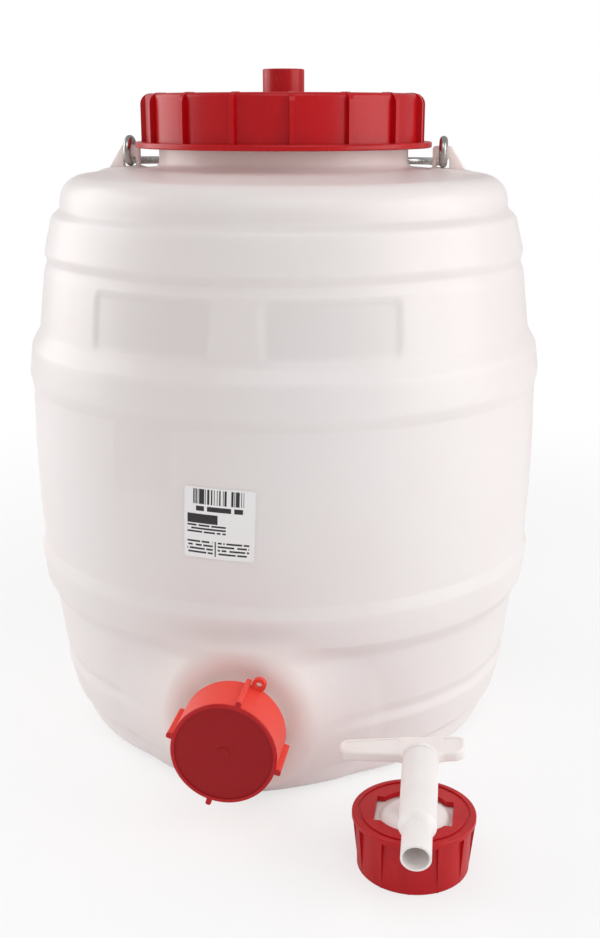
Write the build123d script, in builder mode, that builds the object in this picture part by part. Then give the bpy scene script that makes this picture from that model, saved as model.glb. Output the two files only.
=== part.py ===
from build123d import *
from math import cos, radians, sin, tan
import os

# A round carboy of about fifteen litres, blown in natural polyethylene, with a screw lid, a wire
# bail and a capped outlet, and its loose spigot, which stands on the floor beside it.
# Millimetres, +Z up. The origin is on the floor at the middle of the drum's base. The outlet
# points to -Y, and the ears of the bail stand on +X and -X. An azimuth is an angle about Z,
# from -Y towards +X.

os.makedirs("parts", exist_ok=True)

# Drum wall
wall = 2.4

# Heights of the drum's side, from the floor up to its middle; the upper half repeats them
foot_height = 15.4
end_step_height = 3.8
band_height = 18.1
groove_lip_height = 4.6
groove_height = 5.0
belt_height = 30.4
hoop_flank_height = 7.6
hoop_height = 15.8
hoop_root_height = 6.4
section_half_height = 42.4

# Steps in the drum's radius, from its middle towards either end
belly_radius = 138.4
section_bow = 1.3
hoop_proud = 1.6
hoop_taper = 2.0
hoop_flank = 4.5
belt_taper = 3.8
groove_depth = 2.0
groove_lip = 1.5
band_taper = 4.5
end_step = 4.4
lower_draw = 1.2
foot_taper = 2.5
shoulder_taper = 1.5

# Rounds of the drum's side
crease_round = 2.5
crest_round = 8.0
edge_round = 4.0
foot_round = 12.0
shoulder_round = 13.0

# Shoulder and neck
shoulder_side_height = 15.8
shoulder_crown_height = 4.6
neck_radius = 66.0
neck_height = 32.3
neck_root_round = 4.0
rim_round = 1.0
neck_thread_depth = 3.0

# Shallow moulded fields: a pair in the upper belt and one small square below them
field_width = 64.0
field_height = 26.0
field_depth = 0.8
field_corner = 4.0
field_azimuth = 19.6
square_size = 32.0
square_depth = 0.5
square_corner = 3.0
square_azimuth = -19.3
square_rise = 25.0

# Outlet boss and spout
outlet_height = 48.2
boss_flare_length = 17.0
boss_flare_radius = 62.0
boss_root_length = 19.0
boss_root_radius = 50.0
boss_root_round = 22.0
boss_face_proud = 1.6
boss_face_radius = 36.0
boss_face_round = 8.0
spout_radius = 20.0
spout_length = 26.5
spout_thread_depth = 2.4
spout_rim_round = 0.8

# Lid
lid_bore_clearance = 0.8
gasket_thickness = 2.0
gasket_inner_lap = 1.1
gasket_outer_lap = 2.5
lid_height = 27.0
lid_plate = 2.7
lid_flange_width = 5.9
lid_flange_thickness = 3.0
lid_flange_round = 0.8
lid_skirt_wall = 2.6
lid_edge_round = 2.2
lid_rib_count = 16
lid_rib_width = 2.6
lid_rib_depth = 2.6
lid_rib_proud = 0.3
lid_rib_run = 6.4
lid_rib_round = 5.5
lid_rib_azimuth = 12.8
lid_rim_width = 12.4
lid_field_depth = 1.2
lid_stub_radius = 10.9
lid_stub_height = 12.5
lid_stub_wall = 2.2
lid_stub_round = 0.7

# Bail wire and its ears
wire_diameter = 4.2
hook_radius = 6.0
hook_tip_angle = 285.0
hook_end_angle = 20.0
pivot_rise = 8.0
leg_drop = 5.5
leg_bend_radius = 5.0
bail_bar_gap = 13.7
bail_corner_inset = 15.4
bail_corner_radius = 30.0
bail_rest_gap = 0.3
ear_thickness = 3.6
ear_lid_clearance = 0.7
ear_post = 2.2
ear_strip_height = 6.0
ear_hole_side_clearance = 1.2
ear_hole_foot_clearance = 0.9
ear_hole_corner = 1.5
ear_top_length = 9.6
ear_slope_run = 10.0
ear_sink = 1.2
ear_corner = 1.6

# Outlet cap
seal_thickness = 2.2
seal_lap = 1.9
cap_bore_clearance = 0.5
cap_wall = 2.3
cap_length = 24.8
cap_face = 2.5
cap_edge_round = 0.8
cap_rim = 2.0
cap_field_depth = 0.4
cap_gate_radius = 3.2
cap_gate_height = 0.3
cap_rib_count = 4
cap_rib_width = 2.6
cap_rib_proud = 1.8
cap_rib_round = 0.9
cap_rib_azimuth = 16.3
eyelet_radius = 3.4
eyelet_hole_radius = 1.6
eyelet_thickness = 2.7
eyelet_reach = 28.0
eyelet_azimuth = 27.0

# Label on the drum's front
label_width = 34.0
label_height = 34.8
label_corner = 1.5
label_thickness = 0.2
label_glue = 0.02
label_azimuth = -3.2
label_drop = 1.7
label_tilt = 2.0

# Loose spigot: where it stands, and its union nut
spigot_side = 88.1
spigot_stand_off = 31.3
nut_height = 26.5
nut_bore_radius = 22.75
nut_bottom_wall = 2.85
nut_top_wall = 3.75
nut_flange_radius = 28.25
nut_flange_thickness = 2.3
nut_flange_round = 0.5
nut_plate = 2.5
nut_hole_radius = 17.3
nut_key_length = 35.2
nut_key_width = 20.0
nut_groove_radius = 24.8
nut_groove_width = 1.6
nut_groove_depth = 0.5
nut_rib_count = 12
nut_rib_top_width = 3.5
nut_rib_top_proud = 1.5
nut_rib_bottom_width = 0.8
nut_rib_bottom_inset = 0.1

# Spigot's tap: upright collar, flange and inlet, then the sloping barrel with its spout
tap_yaw = 2.2
tap_shift = 0.6
tap_plate_gap = 0.5
tap_flange_thickness = 2.5
tap_flange_clearance = 0.95
tap_collar_radius = 15.5
tap_collar_wall = 3.0
tap_gasket_thickness = 2.5
tap_gasket_clearance = 0.5
dome_radius = 16.5
dome_top_radius = 9.0
dome_height = 2.5
inlet_radius = 5.6
inlet_bore_radius = 4.2
tap_axis_rise = 21.5
barrel_side = 1.6
barrel_slope = 6.5
barrel_radius = 8.2
barrel_wall = 1.6
barrel_back = 5.8
barrel_front = 40.0
barrel_chamfer = 3.0
nozzle_radius = 6.45
nozzle_wall = 0.95
nozzle_reach = 60.0
plug_seat = 37.0

# Tap plug with its T handle, rolled about the barrel's axis as it stands
plug_roll = 5.2
plug_clearance = 0.08
plug_bore_radius = 4.3
plug_end_gap = 0.4
plug_head_gap = 0.3
plug_head_length = 2.1
plug_floor = 2.0
plug_window_radius = 3.4
handle_width = 13.4
handle_thickness = 5.6
handle_long_arm = 38.0
handle_short_arm = 20.6
handle_long_end_width = 9.6
handle_long_end_setback = 2.4
handle_corner = 4.4
handle_short_corner = 5.8
handle_edge_round = 1.4
handle_recess_depth = 0.4
handle_recess_rim = 2.0
handle_root_round = 4.0
handle_root_flare = 3.0
handle_root_inset = 0.7
handle_web_inset = 0.4
handle_boss_margin = 1.5

# Corners of the drum's side above its middle: height above the middle, radius and round
side_steps = [
    (section_half_height, -section_bow, crease_round),
    (hoop_root_height, hoop_proud, crest_round),
    (hoop_height, -hoop_taper, edge_round),
    (hoop_flank_height, -hoop_flank, crest_round),
    (belt_height, -belt_taper, edge_round),
    (groove_height, -groove_depth, crease_round),
    (groove_lip_height, groove_lip, edge_round),
    (band_height, -band_taper, edge_round),
    (end_step_height, -end_step, crease_round),
]
side_corners = []
side_rise = 0.0
side_radius = belly_radius
for step_height, step_out, corner_round in side_steps:
    side_rise += step_height
    side_radius += step_out
    side_corners.append((side_rise, side_radius, corner_round))

middle_height = foot_height + side_rise
foot_radius = side_radius - lower_draw - foot_taper
shoulder_radius = side_radius - shoulder_taper
shoulder_height = middle_height + side_rise + shoulder_side_height
neck_root_height = shoulder_height + shoulder_crown_height
rim_height = neck_root_height + neck_height

# Reaches of the outlet from the drum's axis
boss_face_reach = belly_radius + boss_face_proud
boss_root_reach = boss_face_reach - boss_root_length
boss_flare_reach = boss_root_reach - boss_flare_length
spout_reach = boss_face_reach + spout_length

# The label section is bowed: its round takes in most of its height
belly_round = 0.8 * section_half_height**2 / (section_bow + lower_draw / 2)


def shoulder_at(radius):
    """Height of the drum's shoulder at a radius."""
    share = (shoulder_radius - radius) / (shoulder_radius - neck_radius)
    return shoulder_height + share * shoulder_crown_height


def facing(azimuth, height):
    """A plane on the drum's axis that faces out at an azimuth, its own Y up."""
    turn = radians(azimuth)
    return Plane(origin=(0, 0, height), x_dir=(cos(turn), sin(turn), 0), z_dir=(sin(turn), -cos(turn), 0))


def turned_drum(inset):
    """The drum's body and neck in the full, with the skin drawn in by inset."""
    lower = [(radius - lower_draw - inset, middle_height - rise) for rise, radius, _ in reversed(side_corners)]
    upper = [(radius - inset, middle_height + rise) for rise, radius, _ in side_corners]
    side_rounds = [corner for _, _, corner in side_corners]
    corners = [(0, inset), (foot_radius - inset, inset)]
    corners += lower + [(belly_radius - lower_draw / 2 - inset, middle_height)] + upper
    corners += [
        (shoulder_radius - inset, shoulder_height - inset),
        (neck_radius - inset, neck_root_height - inset),
        (neck_radius - inset, rim_height + inset),
        (0, rim_height + inset),
    ]
    rounds = [foot_round - inset] + side_rounds[::-1] + [belly_round] + side_rounds
    rounds += [shoulder_round - inset, neck_root_round + inset, rim_round]
    with BuildPart() as turned:
        with BuildSketch(Plane.XZ):
            with BuildLine():
                outline = FilletPolyline(*corners, radius=rounds)
                Line(outline @ 1, outline @ 0)
            make_face()
        revolve(axis=Axis.Z)
    return turned.part


def outlet_swell(inset):
    """The outlet's boss in the full, with the skin drawn in by inset and cut level at the base."""
    with BuildPart() as swell:
        with BuildSketch(Plane.YZ):
            with BuildLine():
                flank = FilletPolyline(
                    (-boss_flare_reach + inset, outlet_height + boss_flare_radius),
                    (-boss_root_reach + inset, outlet_height + boss_root_radius - inset),
                    (-boss_face_reach + inset, outlet_height + boss_face_radius - inset),
                    (-boss_face_reach + inset, outlet_height),
                    radius=[boss_root_round + inset, boss_face_round - inset],
                )
                Polyline(flank @ 1, (-boss_flare_reach + inset, outlet_height), flank @ 0)
            make_face()
        revolve(axis=Axis((0, 0, outlet_height), (0, -1, 0)))
        split(bisect_by=Plane.XY.offset(inset), keep=Keep.TOP)
    return swell.part


def skin_block(azimuth, height, width, tall, corner, tilt, inset):
    """A rounded block through the drum's side, all outside the skin drawn in by inset."""
    middle = facing(azimuth, height).offset(belly_radius / 2)
    with BuildPart() as block:
        with BuildSketch(middle):
            RectangleRounded(width, tall, corner, rotation=tilt)
        extrude(amount=belly_radius)
        add(turned_drum(inset), mode=Mode.SUBTRACT)
    return block.part


# Drum: the skins and the moulded fields first
drum_skin = turned_drum(0)
drum_hollow = turned_drum(wall)
boss_skin = outlet_swell(0)
boss_hollow = outlet_swell(wall)
belt_middle = middle_height + side_corners[3][0] + belt_height / 2
moulded_fields = [
    skin_block(side * field_azimuth, belt_middle, field_width, field_height, field_corner, 0, field_depth)
    for side in (-1, 1)
]
square_field = skin_block(
    square_azimuth, middle_height + square_rise, square_size, square_size, square_corner, 0, square_depth
)

# Radii of the lid, from the neck outwards
lid_bore_radius = neck_radius + neck_thread_depth + lid_bore_clearance
lid_skirt_radius = lid_bore_radius + lid_skirt_wall
lid_flange_radius = lid_skirt_radius + lid_flange_width
lid_rib_inner_radius = lid_skirt_radius - lid_rib_run
lid_field_radius = lid_skirt_radius - lid_rim_width

# Ears: upright plates on the shoulder, each with a hole under its top strip
pivot_height = neck_root_height + pivot_rise
ear_inner = lid_flange_radius + ear_lid_clearance
ear_outer = ear_inner + ear_top_length + ear_slope_run
ear_top = pivot_height + ear_strip_height / 2
ear_hole_width = wire_diameter + 2 * ear_hole_side_clearance
ear_hole_top = pivot_height - ear_strip_height / 2
ear_hole_foot = pivot_height - hook_radius - wire_diameter / 2 - ear_hole_foot_clearance
ear_hole_height = ear_hole_top - ear_hole_foot
pivot_reach = ear_inner + ear_post + ear_hole_width / 2

with BuildPart() as ear:
    with BuildSketch(Plane.XZ):
        with BuildLine():
            rim = FilletPolyline(
                (ear_inner, shoulder_at(ear_inner) - ear_sink),
                (ear_inner, ear_top),
                (ear_inner + ear_top_length, ear_top),
                (ear_outer, shoulder_at(ear_outer) - ear_sink),
                radius=ear_corner,
            )
            Line(rim @ 1, rim @ 0)
        make_face()
        with Locations((pivot_reach, ear_hole_foot + ear_hole_height / 2)):
            RectangleRounded(ear_hole_width, ear_hole_height, ear_hole_corner, mode=Mode.SUBTRACT)
    extrude(amount=ear_thickness / 2, both=True)

spout_plane = facing(0, outlet_height)
with BuildPart() as drum:
    add(drum_skin)
    add(boss_skin)
    with BuildSketch(spout_plane.offset(boss_face_reach - wall)):
        Circle(spout_radius)
    extrude(amount=spout_reach - boss_face_reach + wall)
    fillet(drum.faces().sort_by(Axis.Y)[0].edges(), spout_rim_round)
    add(moulded_fields, mode=Mode.SUBTRACT)
    add(square_field, mode=Mode.SUBTRACT)
    add(drum_hollow, mode=Mode.SUBTRACT)
    add(boss_hollow, mode=Mode.SUBTRACT)
    with BuildSketch(spout_plane.offset(boss_face_reach - 2 * wall)):
        Circle(spout_radius - wall)
    extrude(amount=spout_reach, mode=Mode.SUBTRACT)
    with PolarLocations(0, 2):
        add(ear.part)

drum.part.label = "drum"
export_step(drum.part, "parts/drum.step")

# Label: a thin sheet laid on the skin of the label section
label_height_up = middle_height - label_drop
label_outer = skin_block(
    label_azimuth, label_height_up, label_width, label_height, label_corner, -label_tilt, -label_glue
)
label_beyond = turned_drum(-label_glue - label_thickness)
with BuildPart() as label:
    add(label_outer)
    add(label_beyond, mode=Mode.INTERSECT)

label.part.label = "label"
export_step(label.part, "parts/label.step")

# Lid gasket: a flat ring on the neck's rim
with BuildPart() as lid_gasket:
    with BuildSketch(Plane.XY.offset(rim_height)):
        Circle(neck_radius + gasket_outer_lap)
        Circle(neck_radius - wall - gasket_inner_lap, mode=Mode.SUBTRACT)
    extrude(amount=gasket_thickness)

lid_gasket.part.label = "lid_gasket"
export_step(lid_gasket.part, "parts/lid_gasket.step")

# Lid: plate, skirt, flange and stub turned, then the grip ribs round it
lid_seat = rim_height + gasket_thickness
lid_top = lid_seat + lid_plate
lid_foot = lid_top - lid_height
lid_flange_top = lid_foot + lid_flange_thickness

with BuildPart() as lid_rib:
    with BuildSketch(Plane.XZ):
        with BuildLine():
            edge = FilletPolyline(
                (lid_skirt_radius - lid_skirt_wall / 2, lid_flange_top - lid_flange_thickness / 2),
                (lid_skirt_radius + lid_rib_depth, lid_flange_top - lid_flange_thickness / 2),
                (lid_skirt_radius + lid_rib_depth, lid_top + lid_rib_proud),
                (lid_rib_inner_radius, lid_top + lid_rib_proud),
                (lid_rib_inner_radius, lid_top - lid_plate / 2),
                (lid_skirt_radius - lid_skirt_wall / 2, lid_top - lid_plate / 2),
                radius=[0, lid_rib_round, lid_rib_proud / 2, 0],
            )
            Line(edge @ 1, edge @ 0)
        make_face()
    extrude(amount=lid_rib_width / 2, both=True)

with BuildPart() as lid:
    with BuildSketch(Plane.XZ):
        with BuildLine():
            outside = FilletPolyline(
                (0, lid_foot),
                (lid_flange_radius, lid_foot),
                (lid_flange_radius, lid_flange_top),
                (lid_skirt_radius, lid_flange_top),
                (lid_skirt_radius, lid_top),
                (lid_field_radius, lid_top),
                (lid_field_radius, lid_top - lid_field_depth),
                (lid_stub_radius, lid_top - lid_field_depth),
                (lid_stub_radius, lid_top + lid_stub_height),
                (0, lid_top + lid_stub_height),
                radius=[lid_flange_round, lid_flange_round, 0, lid_edge_round, 0.4, 0, 0.6, lid_stub_round],
            )
            Line(outside @ 1, outside @ 0)
        make_face()
    revolve(axis=Axis.Z)
    with PolarLocations(0, lid_rib_count, start_angle=lid_rib_azimuth - 90):
        add(lid_rib.part)
    with BuildSketch(Plane.XY.offset(lid_foot)):
        Circle(lid_bore_radius)
    extrude(amount=lid_seat - lid_foot, mode=Mode.SUBTRACT)
    with BuildSketch(Plane.XY.offset(lid_foot)):
        Circle(lid_stub_radius - lid_stub_wall)
    extrude(amount=lid_height + lid_stub_height - lid_stub_wall, mode=Mode.SUBTRACT)

lid.part.label = "lid"
export_step(lid.part, "parts/lid.step")

# Bail: one wire, a hook in each ear, legs back along the shoulder and a straight bar behind the neck
hook_end = radians(hook_end_angle)
hook_tip = radians(hook_tip_angle)
hook_back = (hook_end + hook_tip) / 2
bail_reach = lid_flange_radius + bail_bar_gap
bail_corner_reach = pivot_reach - bail_corner_inset
leg_y = hook_radius * cos(hook_end) + (hook_radius * sin(hook_end) + leg_drop) * tan(hook_end)
bar_height = shoulder_at(bail_reach) + bail_rest_gap + wire_diameter / 2


def hook_point(side, angle):
    """A point on the middle of the hook's wire, in the ear's plane across X."""
    return (side * pivot_reach, hook_radius * cos(angle), pivot_height + hook_radius * sin(angle))


with BuildPart() as bail:
    with BuildLine() as bail_line:
        ThreePointArc(hook_point(1, hook_tip), hook_point(1, hook_back), hook_point(1, hook_end))
        FilletPolyline(
            hook_point(1, hook_end),
            (pivot_reach, leg_y, pivot_height - leg_drop),
            (bail_corner_reach, bail_reach, bar_height),
            (-bail_corner_reach, bail_reach, bar_height),
            (-pivot_reach, leg_y, pivot_height - leg_drop),
            hook_point(-1, hook_end),
            radius=[leg_bend_radius, bail_corner_radius, bail_corner_radius, leg_bend_radius],
        )
        ThreePointArc(hook_point(-1, hook_end), hook_point(-1, hook_back), hook_point(-1, hook_tip))
    with BuildSketch(Plane(origin=bail_line.wire() @ 0, z_dir=bail_line.wire() % 0)):
        Circle(wire_diameter / 2)
    sweep(path=bail_line.wire())

bail.part.label = "bail"
export_step(bail.part, "parts/bail.step")

# Outlet seal: a flat ring on the spout's rim
with BuildPart() as outlet_seal:
    with BuildSketch(spout_plane.offset(spout_reach)):
        Circle(spout_radius + seal_lap)
        Circle(spout_radius - wall, mode=Mode.SUBTRACT)
    extrude(amount=seal_thickness)

outlet_seal.part.label = "outlet_seal"
export_step(outlet_seal.part, "parts/outlet_seal.step")

# Outlet cap: a cup with four ribs along it and an eyelet at its open end
cap_bore_radius = spout_radius + spout_thread_depth + cap_bore_clearance
cap_radius = cap_bore_radius + cap_wall
cap_seat = spout_reach + seal_thickness
cap_front = cap_seat + cap_face
cap_back = cap_front - cap_length

with BuildPart() as outlet_cap:
    with BuildSketch(spout_plane.offset(cap_back)):
        Circle(cap_radius)
    extrude(amount=cap_length)
    fillet(outlet_cap.faces().sort_by(Axis.Y)[0].edges(), cap_edge_round)
    with BuildSketch(spout_plane.offset(cap_back)):
        with PolarLocations(cap_radius + cap_rib_proud / 2, cap_rib_count, start_angle=90 - cap_rib_azimuth):
            RectangleRounded(2 * cap_rib_proud, cap_rib_width, cap_rib_round)
    extrude(amount=cap_length)
    with BuildSketch(spout_plane.offset(cap_back)):
        with PolarLocations(eyelet_reach, 1, start_angle=90 - eyelet_azimuth):
            Circle(eyelet_radius)
    extrude(amount=eyelet_thickness)
    with BuildSketch(spout_plane.offset(cap_back)):
        with PolarLocations(eyelet_reach, 1, start_angle=90 - eyelet_azimuth):
            Circle(eyelet_hole_radius)
    extrude(amount=eyelet_thickness, mode=Mode.SUBTRACT)
    with BuildSketch(spout_plane.offset(cap_back)):
        Circle(cap_bore_radius)
    extrude(amount=cap_seat - cap_back, mode=Mode.SUBTRACT)
    with BuildSketch(spout_plane.offset(cap_front - cap_field_depth)):
        Circle(cap_radius - cap_rim)
        Circle(cap_gate_radius, mode=Mode.SUBTRACT)
    extrude(amount=cap_field_depth, mode=Mode.SUBTRACT)
    with BuildSketch(spout_plane.offset(cap_front - cap_field_depth + cap_gate_height)):
        Circle(cap_gate_radius)
    extrude(amount=cap_field_depth, mode=Mode.SUBTRACT)

outlet_cap.part.label = "outlet_cap"
export_step(outlet_cap.part, "parts/outlet_cap.step")

# Union nut: a drafted skirt under a flange, a keyed hole in its plate and wedge ribs round it
spigot_y = -(belly_radius + spigot_stand_off)
nut_axis = Axis((spigot_side, spigot_y, 0), (0, 0, 1))
nut_plane = Plane(origin=(spigot_side, spigot_y, 0))
nut_section = Plane(origin=(spigot_side, spigot_y, 0), x_dir=(1, 0, 0), z_dir=(0, -1, 0))
nut_bottom_radius = nut_bore_radius + nut_bottom_wall
nut_top_radius = nut_bore_radius + nut_top_wall
nut_flange_foot = nut_height - nut_flange_thickness
rib_inner_radius = nut_bore_radius + nut_bottom_wall / 2

with BuildPart() as nut_rib:
    with BuildSketch(Plane.XY):
        with Locations(((rib_inner_radius + nut_bottom_radius - nut_rib_bottom_inset) / 2, 0)):
            Rectangle(nut_bottom_radius - nut_rib_bottom_inset - rib_inner_radius, nut_rib_bottom_width)
    with BuildSketch(Plane.XY.offset(nut_flange_foot)):
        with Locations(((rib_inner_radius + nut_top_radius + nut_rib_top_proud) / 2, 0)):
            Rectangle(nut_top_radius + nut_rib_top_proud - rib_inner_radius, nut_rib_top_width)
    loft()

with BuildPart() as union_nut:
    with BuildSketch(nut_section):
        with BuildLine():
            shell = FilletPolyline(
                (0, 0),
                (nut_bottom_radius, 0),
                (nut_top_radius, nut_flange_foot),
                (nut_flange_radius, nut_flange_foot),
                (nut_flange_radius, nut_height),
                (0, nut_height),
                radius=[nut_flange_round, 0, 0, nut_flange_round],
            )
            Line(shell @ 1, shell @ 0)
        make_face()
    revolve(axis=nut_axis)
    with Locations(nut_plane):
        with PolarLocations(0, nut_rib_count):
            add(nut_rib.part)
    with BuildSketch(nut_plane):
        Circle(nut_bore_radius)
    extrude(amount=nut_height - nut_plate, mode=Mode.SUBTRACT)
    with BuildSketch(nut_plane.offset(nut_height - nut_plate)):
        Circle(nut_hole_radius)
        Rectangle(nut_key_length, nut_key_width)
    extrude(amount=nut_plate, mode=Mode.SUBTRACT)
    with BuildSketch(nut_plane.offset(nut_height - nut_groove_depth)):
        Circle(nut_groove_radius + nut_groove_width / 2)
        Circle(nut_groove_radius - nut_groove_width / 2, mode=Mode.SUBTRACT)
    extrude(amount=nut_groove_depth, mode=Mode.SUBTRACT)

union_nut.part.label = "union_nut"
export_step(union_nut.part, "parts/union_nut.step")

# Tap body: a collar on the floor, the flange under the nut's plate, a low dome, the inlet tube, and the
# barrel with its nozzle, which slopes down to the front, all yawed a little on the floor
yaw = radians(tap_yaw)
slope = radians(barrel_slope)
upward = Vector(0, 0, 1)
tap_right = Vector(cos(yaw), sin(yaw), 0)
tap_ahead = Vector(sin(yaw), -cos(yaw), 0)
tap_front = tap_ahead * cos(slope) - upward * sin(slope)
tap_over = tap_ahead * sin(slope) + upward * cos(slope)
flange_top = nut_height - nut_plate - tap_plate_gap
flange_foot = flange_top - tap_flange_thickness
flange_radius = nut_bore_radius - tap_flange_clearance
tap_axis_height = nut_height + tap_axis_rise
tap_foot = Vector(spigot_side, spigot_y, 0) + tap_right * tap_shift
tap_middle = tap_foot + tap_right * barrel_side + upward * tap_axis_height
tap_axis = Axis(tap_foot, upward)
tap_plane = Plane(origin=tap_foot)
barrel_axis = Axis(tap_middle, tap_front)
tap_upright_section = Plane(origin=tap_foot, x_dir=tap_right, z_dir=tap_ahead)
barrel_section = Plane(origin=tap_middle, x_dir=tap_front, z_dir=-tap_right)
barrel_bore_radius = barrel_radius - barrel_wall

with BuildPart() as tap_body:
    with BuildSketch(tap_upright_section):
        with BuildLine():
            Polyline(
                (0, flange_foot),
                (tap_collar_radius - tap_collar_wall, flange_foot),
                (tap_collar_radius - tap_collar_wall, 0),
                (tap_collar_radius, 0),
                (tap_collar_radius, flange_foot),
                (flange_radius, flange_foot),
                (flange_radius, flange_top),
                (dome_radius, flange_top),
            )
            TangentArc((dome_radius, flange_top), (dome_top_radius, flange_top + dome_height), tangent=(-1, 1))
            Polyline(
                (dome_top_radius, flange_top + dome_height),
                (inlet_radius, flange_top + dome_height),
                (inlet_radius, tap_axis_height),
                (0, tap_axis_height),
                (0, flange_foot),
            )
        make_face()
    revolve(axis=tap_axis)
    with BuildSketch(barrel_section):
        with BuildLine():
            Polyline(
                (-barrel_back, 0),
                (-barrel_back, barrel_radius),
                (barrel_front, barrel_radius),
                (barrel_front + barrel_chamfer, nozzle_radius),
                (nozzle_reach, nozzle_radius),
                (nozzle_reach, 0),
                (-barrel_back, 0),
            )
        make_face()
    revolve(axis=barrel_axis)
    with BuildSketch(barrel_section):
        with BuildLine():
            Polyline(
                (-barrel_back, 0),
                (-barrel_back, barrel_bore_radius),
                (plug_seat, barrel_bore_radius),
                (plug_seat, nozzle_radius - nozzle_wall),
                (nozzle_reach, nozzle_radius - nozzle_wall),
                (nozzle_reach, 0),
                (-barrel_back, 0),
            )
        make_face()
    revolve(axis=barrel_axis, mode=Mode.SUBTRACT)
    with BuildSketch(tap_plane.offset(flange_foot)):
        Circle(inlet_bore_radius)
    extrude(amount=tap_axis_height - flange_foot, mode=Mode.SUBTRACT)

tap_body.part.label = "tap_body"
export_step(tap_body.part, "parts/tap_body.step")

# Tap gasket: a flat ring under the tap's flange, round the collar
with BuildPart() as tap_gasket:
    with BuildSketch(tap_plane.offset(flange_foot - tap_gasket_thickness)):
        Circle(flange_radius - tap_gasket_clearance)
        Circle(tap_collar_radius + tap_gasket_clearance, mode=Mode.SUBTRACT)
    extrude(amount=tap_gasket_thickness)

tap_gasket.part.label = "tap_gasket"
export_step(tap_gasket.part, "parts/tap_gasket.step")

# Tap plug: a hollow shaft in the barrel with a window to the inlet, a head and the T handle
roll = radians(plug_roll)
handle_right = tap_right * cos(roll) + tap_over * sin(roll)
handle_up = tap_over * cos(roll) - tap_right * sin(roll)
plug_section = Plane(origin=tap_middle, x_dir=tap_front, z_dir=-handle_right)
handle_plane = Plane(origin=tap_middle, x_dir=handle_right, z_dir=handle_up)
window_plane = Plane(origin=tap_middle, x_dir=tap_front, z_dir=handle_right)
head_front = barrel_back + plug_head_gap
head_back = head_front + plug_head_length
handle_middle = head_back + handle_width / 2
handle_back = head_back + handle_width
handle_boss_reach = barrel_radius + handle_boss_margin
handle_root = barrel_radius - handle_root_inset
handle_shoulder = handle_root + handle_root_flare
handle_web_front = head_front + handle_web_inset
long_end_middle = head_back + handle_long_end_setback + handle_long_end_width / 2
short_recess_end = handle_short_arm - handle_recess_rim
long_recess_end = handle_long_arm - handle_recess_rim
long_recess_half = handle_long_end_width / 2 - handle_recess_rim
plug_radius = barrel_bore_radius - plug_clearance
short_rounds = [0, handle_root_round, handle_short_corner, handle_corner]
long_rounds = [0, handle_corner, handle_corner, handle_root_round, 0]

with BuildPart() as handle:
    with BuildSketch(handle_plane.offset(-handle_thickness / 2)):
        with BuildLine():
            FilletPolyline(
                (handle_root, handle_web_front),
                (handle_shoulder, head_back),
                (handle_short_arm, head_back),
                (handle_short_arm, handle_back),
                (-barrel_radius, handle_back),
                (-handle_long_arm, long_end_middle + handle_long_end_width / 2),
                (-handle_long_arm, long_end_middle - handle_long_end_width / 2),
                (-handle_shoulder, head_back),
                (-handle_root, handle_web_front),
                radius=short_rounds + long_rounds,
                close=True,
            )
        make_face()
    extrude(amount=handle_thickness)
    flat_faces = handle.faces().filter_by(Axis(tap_middle, handle_up))
    fillet(flat_faces.edges(), handle_edge_round)
    for side in (-1, 1):
        with BuildSketch(handle_plane.offset(side * (handle_thickness / 2 - handle_recess_depth))):
            with BuildLine():
                FilletPolyline(
                    (-handle_boss_reach, head_back + handle_recess_rim),
                    (-handle_boss_reach, handle_back - handle_recess_rim),
                    (-long_recess_end, long_end_middle + long_recess_half),
                    (-long_recess_end, long_end_middle - long_recess_half),
                    radius=handle_corner - handle_recess_rim,
                    close=True,
                )
            make_face()
            with Locations(((handle_boss_reach + short_recess_end) / 2, handle_middle)):
                RectangleRounded(
                    short_recess_end - handle_boss_reach,
                    handle_width - 2 * handle_recess_rim,
                    handle_corner - handle_recess_rim,
                )
        extrude(amount=side * handle_thickness, mode=Mode.SUBTRACT)

with BuildPart() as tap_plug:
    with BuildSketch(plug_section):
        with BuildLine():
            Polyline(
                (-handle_middle, 0),
                (-handle_middle, barrel_radius / 2),
                (-head_back, barrel_radius),
                (-head_front, barrel_radius),
                (-head_front, plug_radius),
                (plug_seat - plug_end_gap, plug_radius),
                (plug_seat - plug_end_gap, plug_bore_radius),
                (-barrel_back + plug_floor, plug_bore_radius),
                (-barrel_back + plug_floor, 0),
                (-handle_middle, 0),
            )
        make_face()
    revolve(axis=barrel_axis)
    with BuildSketch(window_plane):
        Circle(plug_window_radius)
    extrude(amount=barrel_radius, mode=Mode.SUBTRACT)
    add(handle.part)

tap_plug.part.label = "tap_plug"
export_step(tap_plug.part, "parts/tap_plug.step")
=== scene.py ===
"""Looks of a carboy: a milky drum, a red screw lid, a wire bail, a capped outlet and a loose spigot.

Metres, +Z up. The origin is on the floor at the middle of the drum's base, and the outlet points to -Y.
An azimuth is an angle about Z, from -Y towards +X.
"""

import logging
from dataclasses import dataclass, field
from enum import Enum
from math import cos, degrees, hypot, pi, radians, sin, sqrt, tan
from typing import Any, Optional, Union

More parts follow.
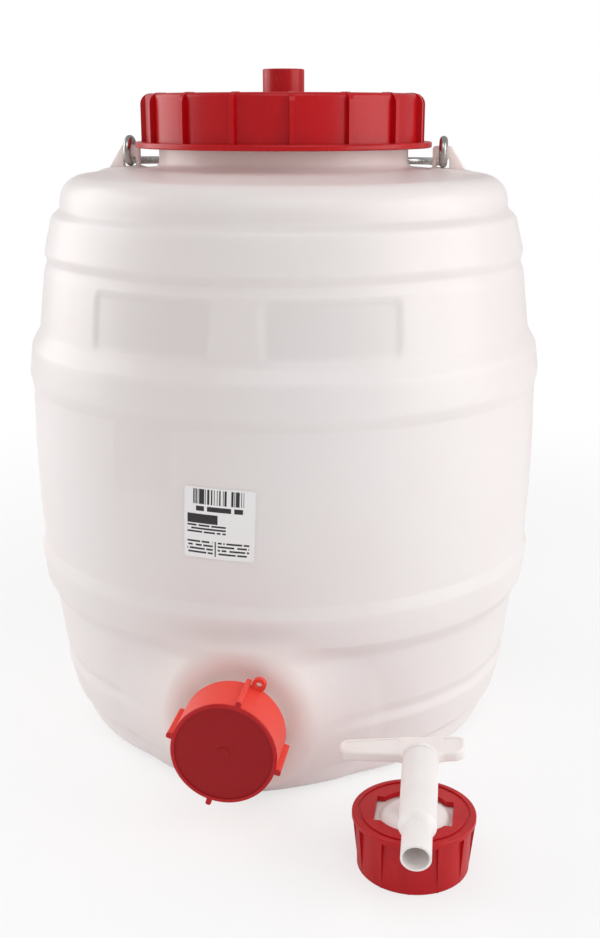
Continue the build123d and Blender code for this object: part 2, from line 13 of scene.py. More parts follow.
import bmesh
import bpy
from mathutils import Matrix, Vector


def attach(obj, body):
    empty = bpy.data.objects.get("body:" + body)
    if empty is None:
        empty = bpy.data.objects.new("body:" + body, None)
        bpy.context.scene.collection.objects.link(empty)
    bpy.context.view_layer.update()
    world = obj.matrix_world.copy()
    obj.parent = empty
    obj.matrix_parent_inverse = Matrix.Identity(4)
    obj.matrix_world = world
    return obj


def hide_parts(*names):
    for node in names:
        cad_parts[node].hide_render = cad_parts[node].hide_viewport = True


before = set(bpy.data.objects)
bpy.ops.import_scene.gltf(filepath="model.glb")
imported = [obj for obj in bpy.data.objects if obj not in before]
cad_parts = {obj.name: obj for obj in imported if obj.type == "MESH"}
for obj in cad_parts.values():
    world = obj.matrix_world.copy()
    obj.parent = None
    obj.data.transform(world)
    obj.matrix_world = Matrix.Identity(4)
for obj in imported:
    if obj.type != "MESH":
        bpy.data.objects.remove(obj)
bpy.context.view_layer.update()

LOG = logging.getLogger("carboy")
MM = 0.001
WHITE = (1.0, 1.0, 1.0, 1.0)
OUTLET_HEIGHT = 48.2 * MM
NECK_PITCH = 8.0 * MM
SPOUT_PITCH = 4.8 * MM
SPOUT_THREAD_FOOT = 149.0 * MM
SAME_POINT = 0.02 * MM
STRAIGHT_LIMIT = 1e-4
Colour = tuple[float, float, float]
Point = tuple[float, float, float]


class Wire:
    """A shader socket. Operators on it add the Math or Vector Math nodes that the expression needs."""

    def __init__(self, graph: "Graph", socket: bpy.types.NodeSocket) -> None:
        """Keeps the socket and the graph that it belongs to.

        Args:
            graph: the graph that new nodes go into.
            socket: an output socket of one of its nodes.
        """
        self.graph = graph
        self.socket = socket

    def _maths(self, operation: str, *operands: "Operand") -> "Wire":
        """Adds one Math node, or one Vector Math node where this wire carries a vector.

        Args:
            operation: the node's operation.
            operands: its inputs in order.

        Returns:
            The node's result.
        """
        kind = "ShaderNodeVectorMath" if self.socket.type == "VECTOR" else "ShaderNodeMath"
        return self.graph.node(kind, {"operation": operation}, dict(enumerate(operands)))

    def __add__(self, other: "Operand") -> "Wire":
        """This plus other."""
        return self._maths("ADD", self, other)

    def __radd__(self, other: "Operand") -> "Wire":
        """Other plus this."""
        return self._maths("ADD", other, self)

    def __sub__(self, other: "Operand") -> "Wire":
        """This minus other."""
        return self._maths("SUBTRACT", self, other)

    def __rsub__(self, other: "Operand") -> "Wire":
        """Other minus this."""
        return self._maths("SUBTRACT", other, self)

    def __mul__(self, other: "Operand") -> "Wire":
        """This times other."""
        return self._maths("MULTIPLY", self, other)

    def __rmul__(self, other: "Operand") -> "Wire":
        """Other times this."""
        return self._maths("MULTIPLY", other, self)

    def __truediv__(self, other: "Operand") -> "Wire":
        """This divided by other."""
        return self._maths("DIVIDE", self, other)

    def __gt__(self, other: "Operand") -> "Wire":
        """1 where this is greater than other, else 0."""
        return self._maths("GREATER_THAN", self, other)

    def __lt__(self, other: "Operand") -> "Wire":
        """1 where this is less than other, else 0."""
        return self._maths("LESS_THAN", self, other)

    def apply(self, operation: str, *others: "Operand") -> "Wire":
        """Any other Math operation on this wire, such as FLOOR, POWER or MAXIMUM."""
        return self._maths(operation, self, *others)

    def between(self, low: float, high: float) -> "Wire":
        """1 where this lies between low and high, else 0."""
        return (self > low) * (self < high)

    def ease(self, low: float, high: float) -> "Wire":
        """A smooth step from 0 at low to 1 at high, where low may be the greater."""
        return self.graph.node(
            "ShaderNodeMapRange",
            {"interpolation_type": "SMOOTHSTEP"},
            {"Value": self, "From Min": low, "From Max": high},
        )

    def axis(self, name: str) -> "Wire":
        """One component of this vector, X, Y or Z."""
        return self.graph.node("ShaderNodeSeparateXYZ", inputs={"Vector": self}, output=name)


Operand = Union[float, Wire]


class Graph:
    """The node tree of a material, a lamp or the world."""

    def __init__(self, tree: bpy.types.NodeTree) -> None:
        """Starts with an empty tree."""
        self.tree = tree
        tree.nodes.clear()

    @staticmethod
    def _named(sockets: Any, name: Union[str, int]) -> bpy.types.NodeSocket:
        """Finds one socket of a node.

        Args:
            sockets: the node's inputs or outputs.
            name: the name of a socket in use, or a place in order.

        Returns:
            The socket.
        """
        if isinstance(name, int):
            return sockets[name]
        return next(socket for socket in sockets if socket.enabled and socket.name == name)

    def node(
        self,
        kind: str,
        settings: Optional[dict[str, Any]] = None,
        inputs: Optional[dict[Union[str, int], Any]] = None,
        output: Union[str, int] = 0,
    ) -> Wire:
        """Adds a node: its settings first, then the values or links of its sockets.

        Args:
            kind: the node's type.
            settings: its properties by name.
            inputs: values, colours or wires by the socket's name or place.
            output: the name or place of the socket to return.

        Returns:
            The wire from that output.
        """
        made = self.tree.nodes.new(kind)
        for name, value in (settings or {}).items():
            setattr(made, name, value)
        for name, value in (inputs or {}).items():
            socket = self._named(made.inputs, name)
            if isinstance(value, Wire):
                self.tree.links.new(value.socket, socket)
            else:
                socket.default_value = value
        if not len(made.outputs):
            return Wire(self, made.inputs[0])
        if isinstance(output, str):
            return Wire(self, self._named(made.outputs, output))
        used = [socket for socket in made.outputs if socket.enabled]
        return Wire(self, used[output])

    def place(self) -> Wire:
        """The point on the piece in its own frame, in metres."""
        return self.node("ShaderNodeTexCoord", output="Object")

    def noise(self, vector: Wire, scale: float, detail: float = 2.0, roughness: float = 0.5) -> Wire:
        """Smooth noise from 0 to 1.

        Args:
            vector: where the noise is read.
            scale: its cells per metre.
            detail: how many finer layers it has.
            roughness: how strong those layers are.

        Returns:
            The noise's value.
        """
        inputs = {"Vector": vector, "Scale": scale, "Detail": detail, "Roughness": roughness}
        return self.node("ShaderNodeTexNoise", inputs=inputs)

    def stretched(self, scale: Point) -> Wire:
        """The point on the piece with each axis scaled, for streaks and drawn lines."""
        return self.node("ShaderNodeMapping", inputs={"Vector": self.place(), "Scale": scale})

    def mix(self, under: Any, over: Any, share: Operand) -> Wire:
        """A colour between two, by the share of the second.

        Args:
            under: the colour at share 0, a wire or red, green and blue.
            over: the colour at share 1.
            share: from 0 to 1.

        Returns:
            The mixed colour.
        """
        colours = [c if isinstance(c, Wire) else (*c, 1.0) for c in (under, over)]
        inputs = {"Factor": share, "A": colours[0], "B": colours[1]}
        return self.node("ShaderNodeMix", {"data_type": "RGBA"}, inputs)

    def bump(self, height: Wire, depth: float, under: Optional[Wire] = None) -> Wire:
        """A surface normal from a height, for the Normal socket.

        Args:
            height: relief from 0 to 1.
            depth: what 1 stands for, in metres.
            under: a normal from another bump that this one lies on.

        Returns:
            The normal.
        """
        inputs = {"Height": height, "Distance": depth, "Strength": 1.0}
        if under is not None:
            inputs["Normal"] = under
        return self.node("ShaderNodeBump", inputs=inputs)

    def surface(self, **sockets: Any) -> None:
        """Ends the graph in a Principled surface.

        Args:
            sockets: values or wires by the socket's name with underscores for spaces.
        """
        inputs = {}
        for name, value in sockets.items():
            colour = isinstance(value, tuple) and name.endswith(("Color", "Tint"))
            inputs[name.replace("_", " ")] = (*value, 1.0) if colour else value
        shade = self.node("ShaderNodeBsdfPrincipled", inputs=inputs)
        self.node("ShaderNodeOutputMaterial", inputs={"Surface": shade})


def new_material(name: str) -> tuple[bpy.types.Material, Graph]:
    """Makes an empty node material.

    Args:
        name: its name in plain words.

    Returns:
        The material and the graph to fill.
    """
    material = bpy.data.materials.new(name)
    material.use_nodes = True
    return material, Graph(material.node_tree)


def from_outlet(place: Wire) -> Wire:
    """How far a point lies from the outlet's axis.

    Args:
        place: the point on the piece.

    Returns:
        The distance in metres.
    """
    offset = place - (0.0, 0.0, OUTLET_HEIGHT)
    squares = offset.axis("X").apply("POWER", 2.0) + offset.axis("Z").apply("POWER", 2.0)
    return squares.apply("SQRT")


def dress(piece: bpy.types.Object, material: bpy.types.Material) -> None:
    """Gives a piece one material all over."""
    piece.data.materials.clear()
    piece.data.materials.append(material)


def smooth(piece: bpy.types.Object, crease: float = 32.0) -> None:
    """Shades a piece smoothly, with creases kept where faces meet at more than an angle in degrees."""
    piece.data.polygons.foreach_set("use_smooth", [True] * len(piece.data.polygons))
    piece.data.set_sharp_from_angle(angle=radians(crease))


def new_piece(name: str, points: list[Vector], faces: list[tuple[int, ...]]) -> bpy.types.Object:
    """Makes a mesh object from points in metres and faces, and links it to the scene.

    Args:
        name: the piece's name.
        points: its corners.
        faces: corner numbers, anticlockwise from outside.

    Returns:
        The new object.
    """
    mesh = bpy.data.meshes.new(name)
    mesh.from_pydata([tuple(point) for point in points], [], faces)
    mesh.update()
    piece = bpy.data.objects.new(name, mesh)
    bpy.context.scene.collection.objects.link(piece)
    return piece


@dataclass(frozen=True)
class MilkyPolyethylene:
    """Natural polyethylene: milky and softly glossy, with painted reflected red light at the neck and the
    outlet, where the red pieces sit against it.
    """

    milk: Colour = (0.930, 0.815, 0.790)
    thin: Colour = (0.950, 0.865, 0.850)
    red_bounce: Colour = (0.930, 0.680, 0.600)
    depth: float = 12 * MM
    front: float = -90 * MM
    outlet_bounce_fade: tuple[float, float] = (60 * MM, 24 * MM)
    outlet_bounce_share: float = 0.45
    neck_bounce_fade: tuple[float, float] = (296 * MM, 316 * MM)
    neck_bounce_share: float = 0.35

    def material(self) -> bpy.types.Material:
        """The drum's material.

        Returns:
            Milky plastic with mottling, painted reflected red light at the neck and outlet, and fine moulding
            relief.
        """
        material, graph = new_material("milky polyethylene")
        place = graph.place()
        cloud = graph.noise(graph.stretched((1.0, 1.0, 0.55)), 9.0, 3.0)
        body = graph.mix(self.milk, self.thin, cloud.ease(0.3, 0.75))
        # Painted reflected light: a warm red glow painted near the outlet and below the lid, standing in for
        # light bounced off the red cap and lid.
        outlet_bounce = from_outlet(place).ease(*self.outlet_bounce_fade) * (place.axis("Y") < self.front)
        neck_bounce = place.axis("Z").ease(*self.neck_bounce_fade)
        bounce_painted = graph.mix(body, self.red_bounce, outlet_bounce * self.outlet_bounce_share)
        bounce_painted = graph.mix(bounce_painted, self.red_bounce, neck_bounce * self.neck_bounce_share)
        peel = graph.noise(place, 420.0, 3.0, 0.6)
        flow = graph.noise(graph.stretched((1.0, 1.0, 0.08)), 55.0, 2.0)
        relief = graph.bump(flow, 0.35 * MM, graph.bump(peel, 0.02 * MM))
        graph.surface(
            Base_Color=bounce_painted,
            Roughness=0.30 + 0.10 * cloud,
            IOR=1.5,
            Normal=relief,
            Subsurface_Weight=0.35,
            Subsurface_Radius=(1.0, 0.82, 0.74),
            Subsurface_Scale=self.depth,
        )
        return material


class RedPart(Enum):
    """The red pieces, which differ in gloss and in wear."""

    LID = "lid"
    CAP = "cap"
    NUT = "nut"


@dataclass(frozen=True)
class RedPlastic:
    """Glossy red moulded plastic with soft flow marks and faint scuffs."""

    part: RedPart
    red: Colour = (0.500, 0.001, 0.005)
    flow_and_shade_red: Colour = (0.300, 0.000, 0.003)
    lit_coral: Colour = (0.880, 0.070, 0.045)
    scuffed: Colour = (0.760, 0.070, 0.060)
    roughness: float = 0.24
    gloss: float = 0.34
    scuff_share: float = 0.35
    cap_face_front: float = -170.4 * MM
    cap_face_radius: float = 23.4 * MM
    cap_lit_side_fade: tuple[float, float] = (-171.0 * MM, -169.5 * MM)
    cap_light_shade_share: float = 0.85
    cap_face_matt: float = 0.34
    cap_side_matt: float = 0.16

    def material(self) -> bpy.types.Material:
        """The material of one red piece.

        Returns:
            Red plastic. On the cap, the side is painted a lighter coral as painted light, and the end face is
            painted a darker red as painted shade and made more matt.
        """
        material, graph = new_material(f"red plastic, {self.part.value}")
        place = graph.place()
        flow = graph.noise(graph.stretched((1.0, 1.0, 0.25)), 60.0, 4.0, 0.6)
        scratch = graph.noise(graph.stretched((1.0, 1.0, 0.3)), 900.0, 3.0, 0.7)
        patch = graph.noise(place, 70.0, 3.0, 0.6).ease(0.50, 0.72)
        scuff = patch * scratch.ease(0.50, 0.72) * self.scuff_share
        colour = graph.mix(self.red, self.flow_and_shade_red, flow.ease(0.35, 0.85) * 0.4)
        colour = graph.mix(colour, self.scuffed, scuff)
        roughness = self.roughness + 0.10 * flow + 0.30 * scuff
        # Painted light and shade on the cap: its side is painted a lighter coral and its end face a darker
        # red, lit and shaded copies of one red. The end face is also more matt. The darker red also serves
        # for the flow marks on every red piece.
        if self.part is RedPart.CAP:
            front = place.axis("Y")
            face = (front < self.cap_face_front) * (from_outlet(place) < self.cap_face_radius)
            side = front.ease(*self.cap_lit_side_fade)
            colour = graph.mix(colour, self.lit_coral, side * self.cap_light_shade_share)
            colour = graph.mix(colour, self.flow_and_shade_red, face * self.cap_light_shade_share)
            roughness = roughness + self.cap_face_matt * face + self.cap_side_matt * side
        grain = graph.noise(place, 1500.0, 2.0)
        relief = graph.bump(flow, 0.12 * MM, graph.bump(grain, 0.006 * MM))
        graph.surface(
            Base_Color=colour, Roughness=roughness, IOR=1.5, Specular_IOR_Level=self.gloss, Normal=relief
        )
        return material


@dataclass(frozen=True)
class TapPlastic:
    """White moulded plastic of the tap, softly translucent."""

    white: Colour = (0.900, 0.850, 0.830)
    shade: Colour = (0.820, 0.760, 0.745)

    def material(self) -> bpy.types.Material:
        """The material of the tap's body and plug.

        Returns:
            White plastic with faint clouds and specks.
        """
        material, graph = new_material("white tap plastic")
        place = graph.place()
        cloud = graph.noise(place, 90.0, 3.0)
        speck = graph.noise(place, 800.0, 1.0).ease(0.74, 0.80)
        colour = graph.mix(self.white, self.shade, cloud.ease(0.4, 0.9) * 0.35 + speck * 0.2)
        relief = graph.bump(graph.noise(place, 1200.0, 2.0), 0.008 * MM)
        graph.surface(
            Base_Color=colour,
            Roughness=0.34 + 0.10 * cloud,
            IOR=1.5,
            Normal=relief,
            Subsurface_Weight=0.3,
            Subsurface_Radius=(1.0, 0.85, 0.8),
            Subsurface_Scale=4 * MM,
        )
        return material


@dataclass(frozen=True)
class BailSteel:
    """Bright plated wire with lengthwise drawing lines and a few dull spots."""

    bright: Colour = (0.430, 0.415, 0.400)
    dull: Colour = (0.200, 0.185, 0.175)

    def material(self) -> bpy.types.Material:
        """The bail's material.

        Returns:
            Metal with dull spots and fine lengthwise lines.
        """
        material, graph = new_material("bright plated wire")
        place = graph.place()
        spots = graph.noise(place, 260.0, 4.0, 0.65).ease(0.45, 0.75)
        lines = graph.noise(graph.stretched((0.06, 1.0, 1.0)), 2600.0, 2.0)
        colour = graph.mix(self.bright, self.dull, spots * 0.55)
        graph.surface(
            Base_Color=colour,
            Metallic=1.0,
            Roughness=0.20 + 0.18 * spots,
            Normal=graph.bump(lines, 0.012 * MM),
        )
        return material


@dataclass(frozen=True)
class SealFoam:
    """Pale soft foam sheet of the seals, with small closed cells."""

    pale: Colour = (0.780, 0.765, 0.730)
    cell: Colour = (0.640, 0.620, 0.585)

    def material(self) -> bpy.types.Material:
        """The material of the three seals.

        Returns:
            Matt foam with small cells.
        """
        material, graph = new_material("pale foam seal")
        cells = graph.node(
            "ShaderNodeTexVoronoi", {"feature": "F1"}, {"Vector": graph.place(), "Scale": 1600.0}, "Distance"
        )
        colour = graph.mix(self.cell, self.pale, cells.ease(0.1, 0.5))
        graph.surface(Base_Color=colour, Roughness=0.85, Normal=graph.bump(cells, 0.05 * MM))
        return material


@dataclass(frozen=True)
class PrintedPaper:
    """The label's coated paper with generic print: bars, rows of dashes and a bold row of blocks."""

    azimuth: float = -3.2
    height: float = 147.8 * MM
    tilt: float = 2.0
    reach: float = 138.0 * MM
    paper: Colour = (0.900, 0.890, 0.890)
    ink: Colour = (0.030, 0.028, 0.030)

    def _dashes(self, across: Wire, up: Wire, window: "PrintRows") -> Wire:
        """Ink of one block of print rows.

        Args:
            across: millimetres to the right of the label's middle.
            up: millimetres above it.
            window: the block's edges, its pitch and the dashes' length.

        Returns:
            1 where there is ink.
        """
        graph = across.graph
        row = ((window.top - up) / window.pitch).apply("FLOOR")
        in_row = ((window.top - up) / window.pitch).apply("FRACT") < window.fill
        cell = (across / window.dash).apply("FLOOR")
        seat = graph.node("ShaderNodeCombineXYZ", inputs={"X": cell, "Y": row})
        chance = graph.node("ShaderNodeTexWhiteNoise", {"noise_dimensions": "3D"}, {"Vector": seat})
        inside = across.between(window.left, window.right) * up.between(window.bottom, window.top)
        return inside * in_row * (chance > window.gaps)

    def material(self) -> bpy.types.Material:
        """The label's material.

        Returns:
            White paper with black generic print.
        """
        material, graph = new_material("printed label paper")
        turn = radians(self.azimuth)
        middle = (self.reach * sin(turn), -self.reach * cos(turn), self.height)
        offset = graph.place() - middle
        right = (cos(turn), sin(turn), 0.0)
        along = offset.apply("DOT_PRODUCT", right).socket
        across = Wire(graph, along) / MM
        up = offset.axis("Z") / MM
        lean = radians(self.tilt)
        u = across * cos(lean) - up * sin(lean)
        v = across * sin(lean) + up * cos(lean)
        ink = self._dashes(u, v, PRINT_BARS)
        for rows in PRINT_ROWS:
            ink = ink.apply("MAXIMUM", self._dashes(u, v, rows))
        colour = graph.mix(self.paper, self.ink, ink)
        fibre = graph.noise(graph.place(), 2500.0, 3.0)
        graph.surface(
            Base_Color=colour,
            Roughness=0.42 + 0.10 * fibre,
            IOR=1.45,
            Normal=graph.bump(fibre, 0.01 * MM),
        )
        return material


@dataclass(frozen=True)
class PrintRows:
    """A block of print rows on the label, in millimetres from the label's middle.

    The fill is the inked share of a row's height, and the gaps are the share of dashes left out.
    """

    left: float
    right: float
    bottom: float
    top: float
    pitch: float
    fill: float
    dash: float
    gaps: float


PRINT_BARS = PrintRows(-12.6, 11.8, 9.3, 16.6, 7.3, 1.0, 0.36, 0.46)
PRINT_ROWS = (
    PrintRows(-11.2, 11.4, 5.9, 8.3, 2.4, 1.0, 1.45, 0.12),
    PrintRows(-15.4, -0.6, -0.2, 4.4, 4.6, 1.0, 2.2, 0.05),
    PrintRows(-15.4, 3.4, -5.6, -0.8, 1.6, 0.55, 0.9, 0.16),
    PrintRows(-15.4, -2.8, -16.0, -8.8, 1.8, 0.5, 0.75, 0.18),
    PrintRows(-0.4, 14.6, -16.0, -8.8, 1.8, 0.5, 0.75, 0.18),
    PrintRows(-1.9, -1.3, -16.2, -8.6, 7.6, 1.0, 5.0, 0.0),
)


class ThreadSide(Enum):
    """Which way a thread's ridge stands from its root."""

    OUTWARD = 1
    INWARD = -1


@dataclass(frozen=True)
class ScrewThread:
    """A right-handed ridge round an axis, which runs out to nothing at both ends."""

    name: str
    body: str
    slot: str
    foot: Vector
    axis: Vector
    root: float
    crest: float
    pitch: float
    turns: float
    side: ThreadSide
    lead: float = 0.0
    root_width: float = 0.5
    crest_width: float = 0.18
    sink: float = 0.3 * MM
    steps: int = 72
    run_out: float = 0.12
    least: float = 0.05
    crease: float = 25.0

    def build(self, material: bpy.types.Material) -> bpy.types.Object:
        """Makes the ridge and lets it ride on its body.

        Args:
            material: the finish of the piece that it is moulded on.

        Returns:
            The ridge.
        """
        turn = self.axis.to_track_quat("Z", "Y").to_matrix()
        points, faces = [], []
        count = int(self.turns * self.steps)
        base = self.root - self.side.value * self.sink
        for number in range(count + 1):
            share = number / count
            grown = min(1.0, share / self.run_out, (1 - share) / self.run_out)
            grown = self.least + (1 - self.least) * grown * grown * (3 - 2 * grown)
            angle = 2 * pi * (self.turns * share + self.lead)
            rise = self.pitch * self.turns * share
            peak = self.root + (self.crest - self.root) * grown
            half_root = self.root_width * self.pitch / 2 * grown
            half_crest = self.crest_width * self.pitch / 2 * grown
            section = ((base, -half_root), (peak, -half_crest), (peak, half_crest), (base, half_root))
            for radius, up in section:
                spot = Vector((radius * cos(angle), radius * sin(angle), rise + up))
                points.append(self.foot + turn @ spot)
            if number:
                first = 4 * (number - 1)
                for corner in range(4):
                    after = (corner + 1) % 4
                    ring = (first + corner, first + 4 + corner, first + 4 + after, first + after)
                    faces.append(ring if self.side is ThreadSide.OUTWARD else ring[::-1])
        ends = [(0, 1, 2, 3), (4 * count + 3, 4 * count + 2, 4 * count + 1, 4 * count)]
        faces += ends if self.side is ThreadSide.OUTWARD else [end[::-1] for end in ends]
        ridge = new_piece(self.name, points, faces)
        smooth(ridge, self.crease)
        dress(ridge, material)
        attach(ridge, self.body)
        LOG.info("%s: %d turns of %.1f mm", self.name, round(self.turns), self.pitch / MM)
        return ridge


def smooth_step(value: float, low: float, high: float) -> float:
    """0 at low, 1 at high and a smooth rise between, where low may be the greater."""
    share = min(1.0, max(0.0, (value - low) / (high - low)))
    return share * share * (3 - 2 * share)


def soft_greater(first: float, second: float, blend: float) -> float:
    """The greater of two lengths, rounded over where they are nearly equal."""
    near = max(blend - abs(first - second), 0.0) / blend
    return max(first, second) + near * near * blend / 4


def arc_points(before: Vector, corner: Vector, after: Vector, radius: float, pace: float) -> list[Vector]:
    """Points of the round at one corner of an outline.

    Args:
        before: the corner before it.
        corner: the corner itself.
        after: the corner after it.
        radius: the round's radius, 0 for a sharp corner.
        pace: the step between points.

    Returns:
        The arc's points, or the corner alone where it is sharp or straight.
    """
    back, ahead = (before - corner).normalized(), (after - corner).normalized()
    half = back.angle(ahead) / 2
    if radius <= 0 or half > pi / 2 - STRAIGHT_LIMIT:
        return [corner]
    start = corner + back * (radius / tan(half))
    end = corner + ahead * (radius / tan(half))
    centre = corner + (back + ahead).normalized() * (radius / sin(half))
    sweep = pi - 2 * half
    count = max(3, int(radius * sweep / pace) + 1)
    points = []
    for number in range(count + 1):
        share = number / count
        spoke = (start - centre) * sin((1 - share) * sweep) + (end - centre) * sin(share * sweep)
        points.append(centre + spoke / sin(sweep))
    return points


def rounded_outline(corners: list[tuple[float, float]], rounds: list[float], pace: float) -> list[Vector]:
    """Points along a line whose inner corners are rounded, no further apart than a pace.

    Args:
        corners: the sharp corners in order, ends included.
        rounds: the radius at each inner corner.
        pace: the longest step between points.

    Returns:
        The points, ends included.
    """
    sharp = [Vector(corner) for corner in corners]
    line = [sharp[0]]
    for place, radius in enumerate(rounds, 1):
        line += arc_points(sharp[place - 1], sharp[place], sharp[place + 1], radius, pace / 2)
    line.append(sharp[-1])
    dense = [line[0]]
    for point in line[1:]:
        start = dense[-1]
        gap = (point - start).length
        if gap > SAME_POINT:
            count = max(1, round(gap / pace))
            dense += [start.lerp(point, number / count) for number in range(1, count + 1)]
    return dense


@dataclass(frozen=True)
class MouldedField:
    """A shallow moulded recess in the drum's side with softly rounded edges."""

    azimuth: float
    height: float
    width: float
    tall: float
    depth: float
    corner: float = 4.0 * MM
    edge: float = 3.2 * MM
    spread: float = 45.0

    def sink(self, radius: float, azimuth: float, height: float) -> float:
        """How far the skin is drawn in here.

        Args:
            radius: the drum's radius at this height.
            azimuth: the point's azimuth in degrees, from -180 to 180.
            height: its height.

        Returns:
            The depth in metres.
        """
        if abs(azimuth - self.azimuth) > self.spread or abs(height - self.height) > self.tall:
            return 0.0
        across = abs(radius * sin(radians(azimuth - self.azimuth))) - self.width / 2 + self.corner
        up = abs(height - self.height) - self.tall / 2 + self.corner
        outside = hypot(max(across, 0.0), max(up, 0.0)) + min(max(across, up), 0.0) - self.corner
        return self.depth * smooth_step(outside, self.edge / 2, -self.edge / 2)


@dataclass(frozen=True)
class SideStep:
    """One corner of the drum's side: its rise over the last one, its step outwards and its round."""

    rise: float
    out: float
    round: float


@dataclass(frozen=True)
class Drum:
    """The blown drum as one smooth skin with its swelling, spout and ears, its threads and its label."""

    wall: float = 2.4 * MM
    belly: float = 138.4 * MM
    belly_round: float = 757.0 * MM
    foot_height: float = 15.4 * MM
    lower_draw: float = 1.2 * MM
    foot_taper: float = 2.5 * MM
    foot_round: float = 12.0 * MM
    shoulder_taper: float = 1.5 * MM
    shoulder_side: float = 15.8 * MM
    shoulder_crown: float = 4.6 * MM
    shoulder_round: float = 13.0 * MM
    neck_radius: float = 66.0 * MM
    neck_height: float = 32.3 * MM
    neck_root_round: float = 4.0 * MM
    rim_round: float = 0.9 * MM
    neck_crest: float = 69.0 * MM
    neck_turns: float = 1.9
    neck_thread_rise: float = 14 * MM
    side: tuple[SideStep, ...] = (
        SideStep(42.4 * MM, -1.3 * MM, 3.5 * MM),
        SideStep(6.4 * MM, 1.6 * MM, 8.0 * MM),
        SideStep(15.8 * MM, -2.0 * MM, 6.0 * MM),
        SideStep(7.6 * MM, -4.5 * MM, 9.0 * MM),
        SideStep(30.4 * MM, -3.8 * MM, 5.0 * MM),
        SideStep(5.0 * MM, -2.0 * MM, 3.5 * MM),
        SideStep(4.6 * MM, 1.5 * MM, 5.0 * MM),
        SideStep(18.1 * MM, -4.5 * MM, 5.0 * MM),
        SideStep(3.8 * MM, -4.4 * MM, 3.5 * MM),
    )
    fields: tuple[MouldedField, ...] = (
        MouldedField(-19.6, 237.0 * MM, 64.0 * MM, 27.0 * MM, 0.9 * MM),
        MouldedField(19.6, 237.0 * MM, 64.0 * MM, 27.0 * MM, 0.9 * MM),
        MouldedField(-19.3, 174.5 * MM, 32.0 * MM, 32.0 * MM, 0.45 * MM),
    )
    boss_face: float = 140.0 * MM
    boss_outline: tuple[tuple[float, float], ...] = (
        (0.0, 0.0),
        (35.5 * MM, 0.0),
        (50.0 * MM, 19.0 * MM),
        (64.0 * MM, 36.0 * MM),
        (90.0 * MM, 90.0 * MM),
    )
    boss_rounds: tuple[float, ...] = (12.0 * MM, 26.0 * MM, 20.0 * MM)
    boss_blend: float = 15.0 * MM
    boss_top: float = 140.0 * MM
    boss_spread: float = 60.0
    boss_behind: float = -110.0 * MM
    chin_round: float = 7.0 * MM
    chin_share: float = 0.75
    base_free: float = 98.0 * MM
    base_blend: float = 5.0 * MM
    base_rings: int = 8
    spout_radius: float = 20.0 * MM
    spout_reach: float = 166.5 * MM
    spout_rim: float = 0.8 * MM
    spout_root: float = 2.2 * MM
    spout_sink: float = 0.3 * MM
    spout_pace: float = 3.0 * MM
    hole_margin: float = 0.05 * MM
    spout_crest: float = 22.4 * MM
    spout_turns: float = 2.6
    seam_proud: float = 0.22 * MM
    seam_half: float = 0.5 * MM
    seams: tuple[float, float] = (90.0, 270.0)
    ear_half: float = 1.8 * MM
    ear_bevel: float = 0.55 * MM
    ear_corners: tuple[tuple[float, float], ...] = (
        (79.0 * MM, 300.6 * MM),
        (79.0 * MM, 315.0 * MM),
        (88.6 * MM, 315.0 * MM),
        (98.6 * MM, 299.4 * MM),
    )
    ear_corner_round: float = 1.6 * MM
    ear_hole: tuple[float, float, float, float] = (81.2 * MM, 303.0 * MM, 87.8 * MM, 309.0 * MM)
    ear_hole_round: float = 1.5 * MM
    ear_flare: float = 1.6 * MM
    ear_inner_fade: tuple[float, float] = (75.0 * MM, 80.0 * MM)
    ear_outer_fade: tuple[float, float] = (104.0 * MM, 98.0 * MM)
    ear_foot: float = 295.0 * MM
    pace: float = 2.4 * MM
    fine_pace: float = 1.2 * MM
    weld: float = 0.001 * MM
    crease: float = 40.0
    fine_turn: float = 0.64
    coarse_turn: float = 2.2
    front_spread: float = 37.0
    seam_spread: float = 5.0

    def _outline(self, inset: float, pace: float) -> list[Vector]:
        """One skin's outline, from the middle of the base to the middle of the neck's rim.

        Args:
            inset: how far the skin is drawn in from the outside.
            pace: the longest step between points.

        Returns:
            The points, each a radius and a height.
        """
        middle = self.foot_height + sum(step.rise for step in self.side)
        rise, radius, upper = 0.0, self.belly, []
        for step in self.side:
            rise, radius = rise + step.rise, radius + step.out
            upper.append((radius - inset, middle + rise))
        lower = [(reach - self.lower_draw, 2 * middle - height) for reach, height in reversed(upper)]
        foot = radius - self.lower_draw - self.foot_taper - inset
        shoulder = radius - self.shoulder_taper - inset
        top = middle + rise + self.shoulder_side
        neck = self.neck_radius - inset
        rim = top + self.shoulder_crown + self.neck_height
        widest = (self.belly - self.lower_draw / 2 - inset, middle)
        corners = [(0.0, inset), (foot, inset), *lower, widest, *upper]
        corners += [(shoulder, top - inset), (neck, top + self.shoulder_crown - inset), (neck, rim)]
        corners.append((self.neck_radius - self.wall / 2, rim))
        sides = [step.round for step in self.side]
        rounds = [self.foot_round - inset, *sides[::-1], self.belly_round, *sides]
        rounds += [self.shoulder_round - inset, self.neck_root_round + inset, self.rim_round]
        line = rounded_outline(corners, rounds, pace)
        flat = [point for point in line if point.y > inset or point.x > self.base_free]
        count = self.base_rings
        hub = [Vector((self.base_free * number / count, inset)) for number in range(1, count + 1)]
        return hub + flat

    def _turns(self) -> list[float]:
        """The azimuths of the mesh's columns, closest at the front and at the two parting seams.

        Returns:
            The azimuths in degrees, from 0 to 360 in order.
        """
        spread = int(self.front_spread / self.fine_turn)
        turns = [self.fine_turn * number for number in range(-spread, spread + 1)]
        seam = degrees(self.seam_half / self.belly)
        near = int(self.seam_spread / self.fine_turn)
        beside = [number for number in range(-near, near + 1) if abs(number) > 1]
        for middle in self.seams:
            turns += [middle + self.fine_turn * number for number in beside]
            turns += [middle + seam * part for part in (-2.0, -1.0, 0.0, 1.0, 2.0)]
        edges = sorted(turn % 360.0 for turn in turns)
        filled = []
        for low, high in zip(edges, edges[1:] + [edges[0] + 360.0]):
            count = max(1, round((high - low) / self.coarse_turn))
            filled += [low + (high - low) * number / count for number in range(count)]
        return filled

